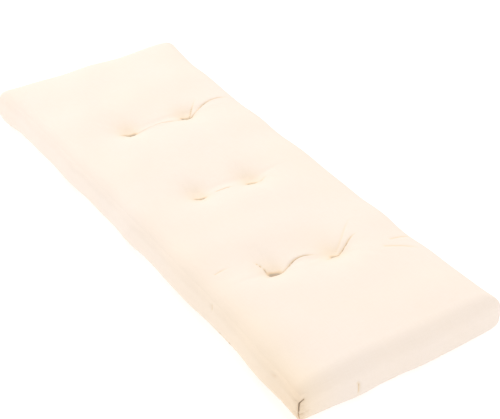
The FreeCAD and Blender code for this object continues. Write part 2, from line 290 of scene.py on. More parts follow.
def cubic_weights(coarse, fine):
    """A matrix that carries values at even places to other places along a smooth cubic."""
    gaps = len(coarse) - 1
    along = (fine - coarse[0]) / (coarse[-1] - coarse[0]) * gaps
    cell = np.clip(np.floor(along).astype(int), 0, gaps - 1)
    t = along - cell
    curve = (
        (-t + 2 * t**2 - t**3) / 2,
        (2 - 5 * t**2 + 3 * t**3) / 2,
        (t + 4 * t**2 - 3 * t**3) / 2,
        (-(t**2) + t**3) / 2,
    )
    weights = np.zeros((len(fine), gaps + 1))
    rows = np.arange(len(fine))
    for shift, amount in zip((-1, 0, 1, 2), curve):
        np.add.at(weights, (rows, np.clip(cell + shift, 0, gaps)), amount)
    return weights


def carry(coarse, values, fine):
    """Carries one value a vertex from the coarse grid's faces to the fine grid's."""
    full = np.zeros(coarse.index.shape + (3,))
    full[coarse.i, coarse.j, coarse.k] = values
    wx, wy, wz = (cubic_weights(a, b) for a, b in zip(coarse.lines, fine.lines))
    result = np.zeros((len(fine.places), 3))
    for end in (0, -1):
        result[fine.index[end]] = np.einsum("ja,kb,abc->jkc", wy, wz, full[end])
        result[fine.index[:, end]] = np.einsum("ia,kb,abc->ikc", wx, wz, full[:, end])
        result[fine.index[:, :, end]] = np.einsum("ia,jb,abc->ijc", wx, wy, full[:, :, end])
    return result


# ------------ creases, pits and seams

def smooth_path(points, samples=8):
    """Points along a Catmull-Rom curve through the given points."""
    points = np.array(points, float)
    ends = [2 * points[0] - points[1], 2 * points[-1] - points[-2]]
    padded = np.vstack([ends[0], points, ends[1]])
    t = np.linspace(0, 1, samples, endpoint=False)[:, None]
    pieces = []
    for a, b, c, d in zip(padded, padded[1:], padded[2:], padded[3:]):
        pieces.append((2 * b + (c - a) * t + (2 * a - 5 * b + 4 * c - d) * t**2
                       + (3 * b - a - 3 * c + d) * t**3) / 2)
    return np.vstack(pieces + [points[-1]])


def near_path(points, path, reach):
    """For the points within reach of a path: which, how far, how far along (0 to 1), and the offset."""
    low, high = path.min(0) - reach, path.max(0) + reach
    chosen = np.nonzero(((points > low) & (points < high)).all(1))[0]
    offset = np.zeros((len(chosen), 3))
    best = np.full(len(chosen), np.inf)
    along = np.zeros(len(chosen))
    steps = np.diff(path, axis=0)
    lengths = np.linalg.norm(steps, axis=1)
    done = 0.0
    for start, step, size in zip(path, steps, lengths):
        away = points[chosen] - start
        t = np.clip(away @ step / size**2, 0, 1)
        away = away - t[:, None] * step
        far = np.linalg.norm(away, axis=1)
        closer = far < best
        best[closer] = far[closer]
        offset[closer] = away[closer]
        along[closer] = (done + t * size)[closer] / lengths.sum()
        done += size
    keep = best < reach
    return chosen[keep], best[keep], along[keep], offset[keep]


def bump(distance, width, power=2.0):
    """1 at no distance, falling smoothly to 0 past the width."""
    return np.exp(-np.abs(distance / width) ** power)


def fade(along, strong):
    """1 along a crease, from just past its start as far as `strong`, then falling to 0 at its end."""
    tail = np.clip((1 - along) / max(1 - strong, 1e-6), 0, 1)
    return np.clip(along / 0.06, 0, 1) ** 0.5 * tail**1.2


# Each crease in the top: the tuft it runs from, its points as offsets from that tuft in mm, its depth
# and width in mm, and how far along it stays strong.
CREASES = [
    ("far_left", [(4, 4), (5, 20), (5, 37), (6, 57), (11, 75), (12, 100)], 3.2, 1.2, 0.45),
    ("far_left", [(-2, -6), (-3, -14), (0, -26)], 1.8, 1.5, 0.2),
    ("far_right", [(3, 3), (-9, 31), (-17, 57), (-19, 79), (-12, 100)], 2.8, 1.2, 0.7),
    ("far_right", [(-2, 4), (-18, 22), (-37, 42)], 2.0, 1.4, 0.3),
    ("far_right", [(0, -3), (2, -14), (4, -26)], 2.6, 1.6, 0.2),
    ("middle_left", [(2, 26), (4, 36), (5, 46), (7, 58)], 1.6, 1.1, 0.7),
    ("middle_left", [(-2, -4), (-2, -12), (-5, -20)], 1.6, 1.4, 0.2),
    ("middle_right", [(3, 3), (5, 12), (2, 27)], 2.4, 1.4, 0.3),
    ("middle_right", [(0, -4), (1, -10), (0, -18)], 1.8, 1.5, 0.2),
    ("near_left", [(4, 3), (-1, 20), (-7, 40), (-8, 55), (-5, 68), (2, 80)], 3.6, 1.1, 0.5),
    ("near_left", [(-2, -6), (-20, -9), (-36, -16)], 2.8, 1.2, 0.6),
    ("near_left", [(2, -6), (4, -15), (2, -25)], 2.2, 1.3, 0.3),
    ("near_right", [(1, 1), (-6, 22), (-14, 40), (-18, 56)], 2.8, 1.1, 0.5),
    ("near_right", [(-3, 2), (-22, 28), (-40, 50), (-54, 71)], 0.8, 1.5, 0.6),
    ("near_right", [(0, -4), (3, -14), (2, -24)], 2.2, 1.5, 0.2),
    ("near_right", [(20, 87), (23, 110), (29, 128)], 0.9, 2.0, 0.8),
    ("near_right", [(30, 66), (43, 95), (60, 117)], 0.9, 2.4, 0.7),
    ("near_left", [(-41, -82), (-43, -68), (-43, -52)], 1.0, 1.6, 0.5),
]
WARM_SHADE = 0.22  # the strength of the painted warm shade on cloth beside a tuft
FAR = np.array([-1.0, 0.0, 0.0])  # the side of a crease where the cloth slopes gently


# The slit that the cloth closes to over each tuft: its offset from the tuft in mm, its heading in
# degrees, its depth and half length and half width in mm, and the depth of the hollow round it in mm.
SLITS = {
    "far_left": ((9, -1), 74, 2.6, 10.0, 1.6, 7.0),
    "far_right": ((8, -4), 66, 2.8, 9.0, 1.7, 7.0),
    "middle_left": ((10, -2), 78, 2.2, 8.0, 1.6, 6.0),
    "middle_right": ((9, -2), 70, 2.6, 7.5, 1.7, 6.0),
    "near_left": ((5, -1), 72, 4.4, 9.5, 2.4, 6.5),
    "near_right": ((5, -9), 74, 2.8, 7.0, 1.7, 6.0),
}


def slit_place(name):
    """Where the slit over a tuft lies in plan."""
    return TUFTS[name] + np.array(SLITS[name][0]) * MM


class Relief:
    """How far each vertex is pressed in along its normal, and how much painted shade its cloth gets."""

    def __init__(self, points):
        self.points = points
        self.push = np.zeros(len(points))
        self.fold = np.zeros(len(points))

    def crease(self, path, depth, width, strong, gentle=None, shadow=0.6):
        """A crease along a path, steep on one side with a raised lip and sloping on the other, its cloth
        darkened with painted shade along the line.
        """
        reach = 9 * width
        chosen, far, along, offset = near_path(self.points, path, reach)
        weight = fade(along, strong) * (1 - far / reach)
        slit = bump(far, width, 1.5)
        slope = np.exp(-far / (4 * width))
        lip = bump(far - 2.6 * width, 1.6 * width)
        if gentle is None:
            profile = -slit + 0.12 * lip
        else:
            side = offset @ gentle > 0
            profile = np.where(side, -0.75 * slit - 0.25 * slope, -slit + 0.2 * lip)
        self.push[chosen] += depth * weight * profile
        # painted shade, darkest along the crease's line
        shade = np.minimum(1, weight * depth / (1.6 * MM)) * bump(far, max(0.8 * width, 1.1 * MM))
        self.fold[chosen] = np.maximum(self.fold[chosen], shade * shadow)

    def pit(self, x, y, mask, depth, heading, long, narrow):
        """The slit in which a tuft's stitch lies, its near wall steeper than its far wall."""
        away = self.points[:, :2] - (x, y)
        lengthways, across = (away @ way[:2] for way in heading_and_right(heading))
        across = np.where(across > 0, across / narrow, across / (3.2 * narrow))
        inside = mask * bump(np.hypot(lengthways / long, across), 1.0, 1.6)
        self.push -= depth * inside
        # painted shade in the slit, darkest at its middle
        self.fold = np.maximum(self.fold, inside)

    def basin(self, x, y, mask, depth):
        """The broad hollow round a tuft: gentle on its far side, shorter on its near side."""
        away = self.points[:, :2] - (x, y)
        long = np.where(away[:, 0] < 0, 62 * MM, 26 * MM)
        wide = np.where(away[:, 1] < 0, 44 * MM, 38 * MM)
        far = np.hypot(away[:, 0] / long, away[:, 1] / wide)
        self.push -= depth * mask * np.exp(-(far**1.5))
        # painted warm shade round the tuft
        self.fold = np.maximum(self.fold, WARM_SHADE * mask * bump(far, 0.45))


def press_top(relief, grid):
    """The pits of the tufts in the top, and the creases between and beside them."""
    for name, (_, heading, depth, long, narrow, hollow) in SLITS.items():
        relief.basin(*slit_place(name), grid.top, hollow * MM)
        relief.pit(*slit_place(name), grid.top, depth * MM, heading, long * MM, narrow * MM)
    for name, offsets, depth, width, strong in CREASES:
        x, y = slit_place(name)
        path = smooth_path([(x + a * MM, y + b * MM, HIGH[2]) for a, b in offsets])
        relief.crease(path, depth * MM, width * MM, strong, FAR)


def press_under(relief, grid):
    """The rounder pits in the underside, each a little wider than its washer."""
    for x, y in TUFTS.values():
        past_rim = np.hypot(relief.points[:, 0] - x, relief.points[:, 1] - y) - 11 * MM
        hollow = 1 / (1 + np.exp(past_rim / (1.6 * MM)))
        relief.push -= grid.under * 3.5 * MM * hollow
        # painted shade round each pit's rim
        relief.fold = np.maximum(relief.fold, grid.under * bump(past_rim, 2 * MM) * 0.6)


def above_seam(points):
    """How far above the lower seam each point of the rounded box lies, along the cloth."""
    core = np.clip(points, LOW + EDGE, HIGH - EDGE)
    out = points - core
    angle = np.arctan2(np.maximum(-out[:, 2], 0), plan_size(out, CORNER_POWER))
    return EDGE * (SEAM_ANGLE - angle) + np.maximum(points[:, 2] - (LOW[2] + EDGE), 0)


def press_seams(relief, rng):
    """The seam round the lower edge, the four corner seams, and the gathers that they draw up."""
    beside = above_seam(relief.points)
    groove = bump(beside, 1.2 * MM, 1.6)
    relief.push += -1.3 * MM * groove + 0.5 * MM * bump(np.abs(beside) - 3.5 * MM, 2.5 * MM)
    # painted shade in the seam's groove
    relief.fold = np.maximum(relief.fold, 0.7 * groove)
    for side_x, side_y in CORNER_NAMES.values():
        relief.crease(corner_path(side_x, side_y), 1.8 * MM, 1.1 * MM, 0.3)
    for _ in range(170):
        gather(relief, rng)


def corner_path(side_x, side_y):
    """A corner seam's line on the rounded box, from the lower seam up to the edge of the top."""
    levels = np.linspace(LOW[2], HIGH[2], 24)
    return rounded(np.array([(side_x * LENGTH / 2, side_y * WIDTH / 2, level) for level in levels]))


def rim_point(around, climb):
    """A point of the rounded box, from a distance round its sides and one above the lower seam."""
    run_x, run_y = LENGTH - 2 * EDGE, WIDTH - 2 * EDGE
    around = around % (2 * (run_x + run_y))
    sides = ((0, run_x, (-1, -1)), (90, run_y, (1, -1)), (180, run_x, (1, 1)), (270, run_y, (-1, 1)))
    for heading, run, start in sides:
        if around <= run:
            break
        around -= run
    ahead, out = heading_and_right(heading)
    place = np.array([start[0] * run_x / 2, start[1] * run_y / 2, LOW[2] + EDGE]) + ahead * around
    angle = SEAM_ANGLE - climb / EDGE
    reach = EDGE * math.cos(max(angle, 0)) if angle < math.pi / 2 else EDGE * (math.pi / 2 - angle)
    drop = EDGE * math.sin(np.clip(angle, 0, math.pi / 2)) + EDGE * min(angle, 0)
    return place + out * reach - (0, 0, drop)


def gather(relief, rng):
    """One small pucker that runs up or under from the lower seam."""
    around = rng.uniform(0, 2 * (LENGTH + WIDTH - 4 * EDGE))
    side = rng.choice((-1, 1))
    reach = rng.uniform(8, 24) * MM
    lean = rng.normal(0, 5) * MM
    path = [rim_point(around + lean * t, side * (1 * MM + reach * t)) for t in (0, 0.33, 0.66, 1)]
    relief.crease(np.array(path), rng.uniform(0.3, 1.0) * MM, rng.uniform(1.4, 2.6) * MM, 0.15)


# Each wrinkle beside the open corner seam, in mm: how far it runs along X and along Y, its level at the
# seam, its rise along the way, and its depth.
NEAR_WRINKLES = [
    ((0, 20), 12, 4, 3.0),
    ((0, 24), 24, 5, 3.6),
    ((0, 18), 36, 2, 2.2),
    ((0, 16), 47, -1, 1.8),
    ((16, 0), 13, -3, 3.2),
    ((14, 0), 26, 2, 2.8),
    ((24, 0), 54, 4, 1.4),
]


def press_near_corner(relief):
    """The open seam in the corner nearest the front, its hooked top and what it pulls, and painted warm
    shade on the side beside it.
    """

    def crease(steps, depth, width, strong, shadow):
        """Presses a crease over the rounded box, from steps away from the corner. Sizes are in mm."""
        places = [(HIGH[0] - x * MM, LOW[1] + y * MM, LOW[2] + z * MM) for x, y, z in steps]
        path = smooth_path(rounded(np.array(places)), 5)
        relief.crease(path, depth * MM, width * MM, strong, shadow=shadow)

    crease([(0, 0, z) for z in (4, 14, 24, 34)], 3.6, 0.8, 0.55, 0.5)
    crease([(0, 0, 30), (0, 0, 37), (0, 0, 44), (0, 0, 51), (0, 3, 57), (0, 10, 63)], 4.2, 0.9, 1, 0.9)
    for (run_x, run_y), level, rise, depth in NEAR_WRINKLES:
        steps = [(run_x * t, run_y * t, level + rise * t) for t in (0.08, 0.3, 0.6, 1)]
        crease(steps, depth, 2.1, 0.28, 0.4)
    crease([(0, 94, 46), (0, 97, 34), (0, 96, 22), (0, 92, 10)], 2.4, 1.6, 0.36, 0.5)
    for away, level, depth in ((225, 66, 1.6), (64, 64, 2.2), (127, 45, 1.2)):
        steps = [(away, 0, level), (away - 4, 0, level - 11), (away - 3, 0, level - 24)]
        crease(steps, depth, 2.2, 0.4, 0.35)
    # painted warm shade on the -Y side: stronger towards the near end and by this corner, fading up onto
    # the top
    away = np.linalg.norm(relief.points - (HIGH[0], LOW[1], 22 * MM), axis=1)
    outer = np.clip((LOW[1] + 84 * MM - relief.points[:, 1]) / (76 * MM), 0, 1) ** 1.8
    nearer = np.clip(relief.points[:, 0] / HIGH[0], 0, 1)
    painted_corner_shade = (1.25 * WARM_SHADE * nearer + 0.05 * bump(away, 75 * MM)) * outer
    relief.fold = np.maximum(relief.fold, painted_corner_shade)


def lumps(points, rng, size):
    """A smooth uneven surface, from waves of random heading and phase."""
    count = 40
    total = np.zeros(len(points))
    for _ in range(count):
        heading = rng.normal(size=3) * (1, 1, 0.5)
        wave = heading / np.linalg.norm(heading) * 2 * math.pi / (size * rng.uniform(0.7, 1.8))
        total += np.sin(points @ wave + rng.uniform(0, 2 * math.pi))
    return total / math.sqrt(count)


# ------------ meshes

def arc_length(place, half, edge):
    """How far cloth runs from the middle of a face to a place on it, over the rounded edge."""
    inner = half - edge
    over = np.maximum(np.abs(place) - inner, 0)
    return np.sign(place) * (np.minimum(np.abs(place), inner) + edge * np.arctan(over / edge))


def cloth_coordinates(grid, quads):
    """Flat coordinates in the cut cloth, in metres, for each corner of each quad."""
    corners = grid.places[quads]
    x, y, z = corners[..., 0], corners[..., 1], corners[..., 2] - (LOW[2] + HIGH[2]) / 2
    flat = np.stack([arc_length(x, LENGTH / 2, EDGE), arc_length(y, WIDTH / 2, EDGE)], -1)
    down = arc_length(HEIGHT / 2, HEIGHT / 2, EDGE) - arc_length(z, HEIGHT / 2, EDGE)
    for axis, half, column in ((x, LENGTH / 2, 0), (y, WIDTH / 2, 1)):
        on_side = (np.abs(np.abs(axis) - half) < 1e-7).all(1)
        edge = arc_length(half, half, EDGE)
        flat[on_side, :, column] = (np.sign(axis) * (edge + down))[on_side]
    return flat


def make_mesh(name, points, faces):
    """A smooth-shaded mesh in the scene."""
    mesh = bpy.data.meshes.new(name)
    mesh.from_pydata(np.asarray(points).tolist(), [], [list(map(int, face)) for face in faces])
    mesh.validate()
    mesh.update()
    mesh.shade_smooth()
    return put(name, mesh)


def panel(name, grid, points, normals, dips, fold, upper):
    """One casing panel: the fine outside, a coarser inside, and the turned-up seam allowance between."""
    outside, inside = (grid.quads(upper, not upper, step) for step in (1, 2))
    ring, coarse_ring = grid.ring(0), grid.ring(0, 2)
    hem_level = int(np.argmin(np.abs(above_seam(points[grid.index[0, 1, :]]) - HEM)))
    hem_level += hem_level % 2
    hem_ring = grid.ring(hem_level, 2)
    used_out, used_in = np.unique(outside), np.unique(inside)
    depth = np.full(len(used_in), CLOTH)
    if upper:
        depth[grid.k[used_in] <= hem_level] = 2 * CLOTH
        lips = []
    else:
        depth[np.isin(used_in, coarse_ring)] = TURNED_UP[1] * CLOTH
        lips = [(coarse_ring, TURNED_UP[0]), (hem_ring, TURNED_UP[0]), (hem_ring, TURNED_UP[1])]
    depth += dips[used_in]
    blocks = [points[used_out], points[used_in] - normals[used_in] * depth[:, None]]
    blocks += [points[at] - normals[at] * CLOTH * times for at, times in lips]
    starts = np.cumsum([0] + [len(block) for block in blocks])
    place_out, place_in = np.zeros((2, len(points)), int)
    place_out[used_out] = np.arange(len(used_out))
    place_in[used_in] = starts[1] + np.arange(len(used_in))

    count = len(coarse_ring)
    rows = [starts[2 + n] + np.arange(count) for n in range(len(lips))] + [place_in[coarse_ring]]
    rim = place_out[ring]
    faces = [place_out[outside].tolist(), place_in[inside][:, ::-1].tolist(), []]
    for n in range(count):
        m = (n + 1) % count
        strips = [[rim[2 * n], rows[0][n], rows[0][m], rim[(2 * n + 2) % len(rim)], rim[2 * n + 1]]]
        strips += [[p[n], q[n], q[m], p[m]] for p, q in zip(rows, rows[1:])]
        faces[2] += [strip if upper else strip[::-1] for strip in strips]
    piece = make_mesh(name, np.vstack(blocks), faces[0] + faces[1] + faces[2])

    mesh = piece.data
    flat = np.zeros((len(mesh.loops), 2))
    flat[: outside.size] = cloth_coordinates(grid, outside).reshape(-1, 2)
    inner = cloth_coordinates(grid, inside)[:, ::-1].reshape(-1, 2)
    flat[outside.size : outside.size + inside.size] = inner
    mesh.uv_layers.new(name="cloth").data.foreach_set("uv", flat.ravel())
    # the painted shade of the outside's vertices, stored for the casing material
    shade = np.zeros(len(mesh.vertices))
    shade[: len(used_out)] = fold[used_out]
    mesh.attributes.new("fold", "FLOAT", "POINT").data.foreach_set("value", shade)
    return piece


def skin_faces(count, sides, closed=False):
    """Faces between a row of rings of vertices: the row's ends joined, or each closed by a cap."""
    faces = []
    for n in range(count if closed else count - 1):
        a, b = n * sides, (n + 1) % count * sides
        faces += [[a + s, a + (s + 1) % sides, b + (s + 1) % sides, b + s] for s in range(sides)]
    if not closed:
        faces += [list(range(sides))[::-1], [(count - 1) * sides + s for s in range(sides)]]
    return faces


def across_path(ahead):
    """Two directions across each heading of a path, which don't spin round it along the way."""
    side = np.cross(ahead[0], (0.3, 0.5, 0.8))
    sides = []
    for heading in ahead:
        side = side - heading * (side @ heading)
        side /= np.linalg.norm(side)
        sides.append(side)
    return np.array(sides), np.cross(ahead, sides)


def tube(path, radius, sides, closed=False):
    """Vertices and faces of a round tube along a path of points."""
    path = np.asarray(path, float)
    ahead = np.roll(path, -1, 0) - np.roll(path, 1, 0)
    if not closed:
        ahead[0], ahead[-1] = path[1] - path[0], path[-1] - path[-2]
    ahead /= np.linalg.norm(ahead, axis=1, keepdims=True)
    first, second = across_path(ahead)
    turn = np.linspace(0, 2 * math.pi, sides, endpoint=False)[:, None]
    rings = path[:, None] + radius * (np.cos(turn) * first[:, None] + np.sin(turn) * second[:, None])
    return rings.reshape(-1, 3), skin_faces(len(path), sides, closed)


def resample(path, step):
    """Points along a path at even distances of about `step`."""
    path = np.asarray(path, float)
    lengths = np.concatenate([[0], np.cumsum(np.linalg.norm(np.diff(path, axis=0), axis=1))])
    count = max(4, round(lengths[-1] / step))
    at = np.linspace(0, lengths[-1], count + 1)
    return np.stack([np.interp(at, lengths, path[:, axis]) for axis in range(3)], 1)


def twisted(path, diameter, lay):
    """Two plies wound round a path, one turn in each lay, as a list of (vertices, faces)."""
    path = resample(path, lay / 10)
    ahead = np.gradient(path, axis=0)
    ahead /= np.linalg.norm(ahead, axis=1, keepdims=True)
    first, second = across_path(ahead)
    run = np.arange(len(path)) * np.linalg.norm(path[1] - path[0]) / lay * 2 * math.pi
    plies = []
    for phase in (0, math.pi):
        turn = (run + phase)[:, None]
        line = path + diameter * 0.24 * (np.cos(turn) * first + np.sin(turn) * second)
        plies.append(tube(line, diameter * 0.27, 6))
    return plies


def joined(name, solids):
    """One piece from several closed solids."""
    vertices, faces, start = [], [], 0
    for points, its_faces in solids:
        vertices.append(points)
        faces += [[start + v for v in face] for face in its_faces]
        start += len(points)
    return make_mesh(name, np.vstack(vertices), faces)


# ------------ materials

class Material:
    """A node material, with its shader and what it takes to add nodes to it."""

    def __init__(self, name, color, roughness, sheen=0.0):
        self.made = bpy.data.materials.new(name)
        self.made.use_nodes = True
        self.tree = self.made.node_tree
        self.shader = self.tree.nodes["Principled BSDF"]
        values = {"Base Color": (*color, 1), "Roughness": roughness, "Specular IOR Level": 0.25,
                  "Sheen Weight": sheen, "Sheen Roughness": 0.5}
        for key, value in values.items():
            self.shader.inputs[key].default_value = value

    def wire(self, node, key, source):
        """Links an input to a socket, or to a node's first output."""
        self.tree.links.new(getattr(source, "outputs", [source])[0], node.inputs[key])

    def add(self, kind, values=(), wires=(), **settings):
        """Adds a node: settings are its properties, values its unlinked inputs, wires its linked ones."""
        node = self.tree.nodes.new("ShaderNode" + kind)
        for key, value in settings.items():
            setattr(node, key, value)
        for key, value in dict(values).items():
            node.inputs[key].default_value = value
        for key, source in dict(wires).items():
            self.wire(node, key, source)
        return node

    def maths(self, operation, first, second=None):
        """Adds a sum, product or sine of sockets, nodes or floats."""
        node = self.add("Math", operation=operation)
        for key, value in enumerate((first, second)):
            if isinstance(value, float):
                node.inputs[key].default_value = value
            elif value is not None:
                self.wire(node, key, value)
        return node

    def ramp(self, source, *stops):
        """Adds a colour ramp: its ends first, then any stops between them, as places and colours."""
        node = self.add("ValToRGB", wires={0: source})
        elements = node.color_ramp.elements
        for element, (place, color) in zip(list(elements), stops):
            element.position = place
            element.color = (*color, 1)
        for place, color in stops[2:]:
            elements.new(place).color = (*color, 1)
        return node


def shaded(color, factors):
    """A colour with each of its channels scaled."""
    return tuple(c * f for c, f in zip(color, factors))


def twill_material(name, color):
    """Unbleached cotton twill: diagonal ribs, slubs, faint unevenness, and painted shade, darker and
    warmer, in its creases, pits and seams.
    """
    twill = Material(name, color, 0.92, 0.12)
    add, maths = twill.add, twill.maths
    flat = add("UVMap", uv_map="cloth")
    split = add("SeparateXYZ", wires={0: flat})
    rib_pitch, yarn_pitch = 0.62 * MM, 0.42 * MM
    diagonal = maths("ADD", split.outputs[0], split.outputs[1])
    ribs = maths("SINE", maths("MULTIPLY", diagonal, 2 * math.pi / rib_pitch))
    yarns = maths("SINE", maths("MULTIPLY", split.outputs[0], 2 * math.pi / yarn_pitch))
    weave = maths("ADD", maths("MULTIPLY", ribs, 0.7), maths("MULTIPLY", yarns, 0.3))

    slubs = []
    for stretch in ((900.0, 60.0, 1.0), (50.0, 800.0, 1.0)):
        laid = add("Mapping", {"Scale": stretch}, {"Vector": flat})
        slubs.append(add("TexNoise", {"Scale": 1.0, "Detail": 2.0}, {"Vector": laid}))
    uneven = maths("ADD", *slubs)
    height = maths("ADD", maths("MULTIPLY", weave, 0.5), maths("MULTIPLY", uneven, 0.9))
    bumps = add("Bump", {"Strength": 0.5, "Distance": 0.06 * MM}, {"Height": height})
    twill.wire(twill.shader, "Normal", bumps)

    tone = maths("ADD", maths("MULTIPLY", uneven, 0.5), maths("MULTIPLY", weave, 0.12))
    fresh = twill.ramp(tone, (0.25, shaded(color, (0.965, 0.95, 0.925))), (0.75, color))
    place = add("TexCoord").outputs["Object"]
    cloudy = add("TexNoise", {"Scale": 9.0, "Detail": 3.0, "Roughness": 0.6}, {"Vector": place})
    patch = add("MapRange", {"From Min": 0.35, "From Max": 0.7, "To Max": 0.5}, {"Value": cloudy})
    age = (*shaded(color, (1.0, 0.975, 0.93)), 1)
    aged = add("MixRGB", {"Color2": age}, {"Fac": patch, "Color1": fresh})
    # painted shade: the cloth a little warmer beside the tufts and along the near side, and darker and
    # warmer in creases, seams and pits
    fold = add("Attribute", attribute_name="fold").outputs["Fac"]
    painted_shade_tints = twill.ramp(fold, (0, (1, 1, 1)), (1, (0.76, 0.56, 0.37)), (0.6, (0.56, 0.53, 0.48)),
                        (0.4, (0.92, 0.81, 0.64)), (WARM_SHADE, (1, 0.965, 0.88)))
    final = add("MixRGB", {"Fac": 1.0}, {"Color1": aged, "Color2": painted_shade_tints}, blend_type="MULTIPLY")
    twill.wire(twill.shader, "Base Color", final)
    return twill.made


def fibre_material(name, color, scale, depth, roughness=0.95, sheen=0.1, stretch=(1.0, 1.0, 1.0)):
    """Batting, felt, foam, thread and twine: uneven fibres at the scale of each."""
    stuff = Material(name, color, roughness, sheen)
    place = stuff.add("TexCoord").outputs["Object"]
    laid = stuff.add("Mapping", {"Scale": stretch}, {"Vector": place})
    grain = {"Scale": scale, "Detail": 4.0, "Roughness": 0.65}
    fibres = stuff.add("TexNoise", grain, {"Vector": laid})
    tinted = stuff.ramp(fibres, (0.3, shaded(color, (0.86, 0.86, 0.86))), (0.7, color))
    stuff.wire(stuff.shader, "Base Color", tinted)
    bumps = stuff.add("Bump", {"Strength": 0.6, "Distance": depth}, {"Height": fibres})
    stuff.wire(stuff.shader, "Normal", bumps)
    return stuff.made


CREAM = (0.90, 0.82, 0.765)
TWILL = twill_material("casing_twill", CREAM)
BATTING = fibre_material("cotton_batting", (0.90, 0.85, 0.76), 900, 0.4 * MM, stretch=(0.3, 1.0, 2.0))
FOAM = fibre_material("foam", (0.93, 0.87, 0.62), 1500, 0.3 * MM)
THREAD = fibre_material("sewing_thread", (0.86, 0.77, 0.62), 5000, 0.05 * MM)
TWINE = fibre_material("waxed_twine", (0.80, 0.68, 0.48), 4000, 0.08 * MM, 0.6)
FELT = fibre_material("felt", (0.84, 0.78, 0.66), 1800, 0.15 * MM, sheen=0.3)


def dress(piece, surface, slot, *nodes, fill=None):
    """Gives a piece its material and its body, and hides the CAD nodes that it stands for."""
    piece.data.materials.clear()
    piece.data.materials.append(surface)
    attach(piece, "root")
    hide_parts(*nodes)


# ------------ the casing

rng = np.random.default_rng(SEED)
FINEST = 1.2 * MM  # between the lines of the fine grid across the tufts and at the open corner
coarse = Grid(*[even_lines(low, high, SIM_STEP) for low, high in zip(LOW, HIGH)])
fine_x = [
    (-257 * MM, -185 * MM, FINEST),
    (-5 * MM, 25 * MM, FINEST),
    (172 * MM, 288 * MM, FINEST),
    (LOW[0], LOW[0] + EDGE, 2.2 * MM),
    (HIGH[0] - EDGE, HIGH[0] - 8 * MM, 2 * MM),
    (HIGH[0] - 8 * MM, HIGH[0], FINEST),
]
fine = Grid(
    graded_lines(LOW[0], HIGH[0], 6 * MM, fine_x),
    graded_lines(LOW[1], HIGH[1], 2.6 * MM, [(LOW[1], LOW[1] + 8 * MM, FINEST)]),
    even_lines(LOW[2], HIGH[2], 2.6 * MM),
)


def drawn_in(places):
    """How far the long sides are pulled in between the corners, and the near end is pushed out."""
    x, y = places[..., 0] / (LENGTH / 2), places[..., 1] / (WIDTH / 2)
    pull = np.zeros_like(places)
    pull[..., 1] = -WAIST * (1 - np.abs(x) ** 5) * np.sign(y) * np.abs(y) ** 3
    pull[..., 1] += BULGE * np.maximum(-x, 0) ** 6 * np.maximum(y, 0) ** 3
    pull[..., 0] = BULGE * np.maximum(x, 0) ** 6 * (1 - y**4)
    return pull


def raise_top(surface, places):
    """Gives the top its crown, its ears at the corners and its slump, which fade out down the sides."""
    along, across = (places[:, axis] / HIGH[axis] for axis in (0, 1))
    crown = CROWN * (1 - np.where(along > 0, along**8, along**14)) * (1 - np.abs(across) ** 5)
    slump = SLUMP * np.clip((along - 0.1) / 0.9, 0, 1) ** 1.5 * np.clip((-across - 0.3) / 0.7, 0, 1) ** 2
    ear = EAR * along**8 * across**4 * ~((along > 0) & (across < 0))
    climb = np.clip((surface[:, 2] - LOW[2]) / HEIGHT * 1.6 - 0.6, 0, 1)
    surface[:, 2] += (PROUD - CROWN + crown + ear - slump) * climb**2 * (3 - 2 * climb)


def settle(surface):
    """Lets the casing down to just above the floor, and flattens what rests on it."""
    rest = LOW[2] + 0.2 * MM
    gap = surface[:, 2].min() - rest
    surface[:, 2] -= gap * np.clip(1 - (surface[:, 2] - rest - gap) / (25 * MM), 0, 1)
    lift = np.maximum(surface[:, 2] - rest, 0)
    surface[:, 2] = rest + lift * np.clip(lift / (3 * MM), 0.3, 1)


swell = simulate(coarse)
base = rounded(fine.places)
relief = Relief(base)
press_top(relief, fine)
press_under(relief, fine)
press_seams(relief, rng)
press_near_corner(relief)
stuffed = base + carry(coarse, swell, fine) + drawn_in(base)
all_quads = fine.quads()
uneven = lumps(base, rng, LUMP_SIZE) * LUMP_HEIGHT * (1 - 0.8 * fine.under)
surface = stuffed + normals_of(stuffed, all_quads) * (relief.push + uneven)[:, None]
raise_top(surface, fine.places)
settle(surface)
outward = normals_of(surface, all_quads)
dips = relief.push - fine.lowest_around(relief.push, 3)  # what keeps the panels' insides out of creases

for side, upper in (("top", True), ("under", False)):
    casing = panel("casing_" + side, fine, surface, outward, dips, relief.fold, upper)
    dress(casing, TWILL, "casing_twill", side + "_panel", fill=0.75)


# ------------ the filling

CLEAR = 1.5 * MM  # between the casing and the filling
LAYER_GAP = 0.004  # between layers, as a share of the thickness
BATTS = 3  # layers of batting on each side of the core
CORE = np.array(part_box("foam_core"))


def cleared(upper):
    """The height that filling keeps to at each fine grid point, under the top or over the underside."""
    heights = surface[fine.index[:, :, -1 if upper else 0], 2]
    pick = np.min if upper else np.max
    reach = 1.5 * SIM_STEP
    rows = np.array([pick(heights[np.abs(fine.lines[0] - x) <= reach], axis=0) for x in fine.lines[0]])
    level = np.array([pick(rows[:, np.abs(fine.lines[1] - y) <= reach], axis=1) for y in fine.lines[1]]).T
    return level - CLEAR if upper else level + CLEAR


ceiling, ground = cleared(True), cleared(False)


def nearest(lines, places):
    """The index of the line nearest each place."""
    return np.searchsorted((lines[1:] + lines[:-1]) / 2, places)


def outline(points, half_x, half_y, corner):
    """Grid points in -1..1, spread over a rectangle with rounded corners."""
    spread = points * (half_x, half_y)
    core = np.clip(spread, (corner - half_x, corner - half_y), (half_x - corner, half_y - corner))
    out = spread - core
    squash = np.maximum(np.abs(out).max(-1), 1e-9) / np.maximum(plan_size(out, TOP_POWER[0]), 1e-9)
    return core + out * np.minimum(squash, 1)[..., None]


